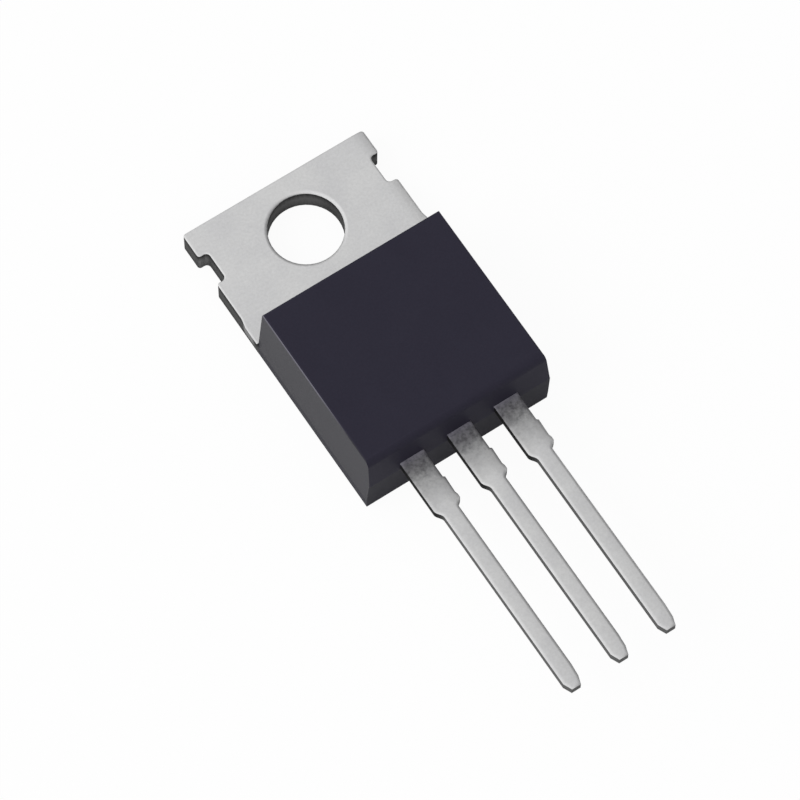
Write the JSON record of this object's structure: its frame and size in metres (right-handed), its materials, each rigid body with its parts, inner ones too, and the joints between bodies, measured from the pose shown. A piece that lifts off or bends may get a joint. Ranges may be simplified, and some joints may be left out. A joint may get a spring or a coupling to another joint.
{
  "type": "voltage regulator",
  "caption": "Three-lead linear voltage regulator in a TO-220 package with a drilled metal tab, lying on its back.",
  "frame": {"origin": "axis of the mounting hole, on the seating face", "axes": "+Z out of the front face along the hole, +Y towards the top of the tab, leads towards -Y, +X to the right seen from the front"},
  "size_m": [0.0102, 0.0287, 0.0044],
  "materials": {
    "mould_compound": "fine matte",
    "plated_tab": "satin",
    "plated_lead": "satin",
    "silicon": "polished",
    "solder": "satin",
    "bond_wire": "satin"
  },
  "bodies": {
    "root": {"moulded_body": "mould_compound", "tab_and_centre_lead": "plated_tab", "input_lead": "plated_lead", "output_lead": "plated_lead", "regulator_die": "silicon", "die_solder": "solder", "input_wire": "bond_wire", "output_wire": "bond_wire", "ground_wire": "bond_wire"}
  },
  "joints": []
}
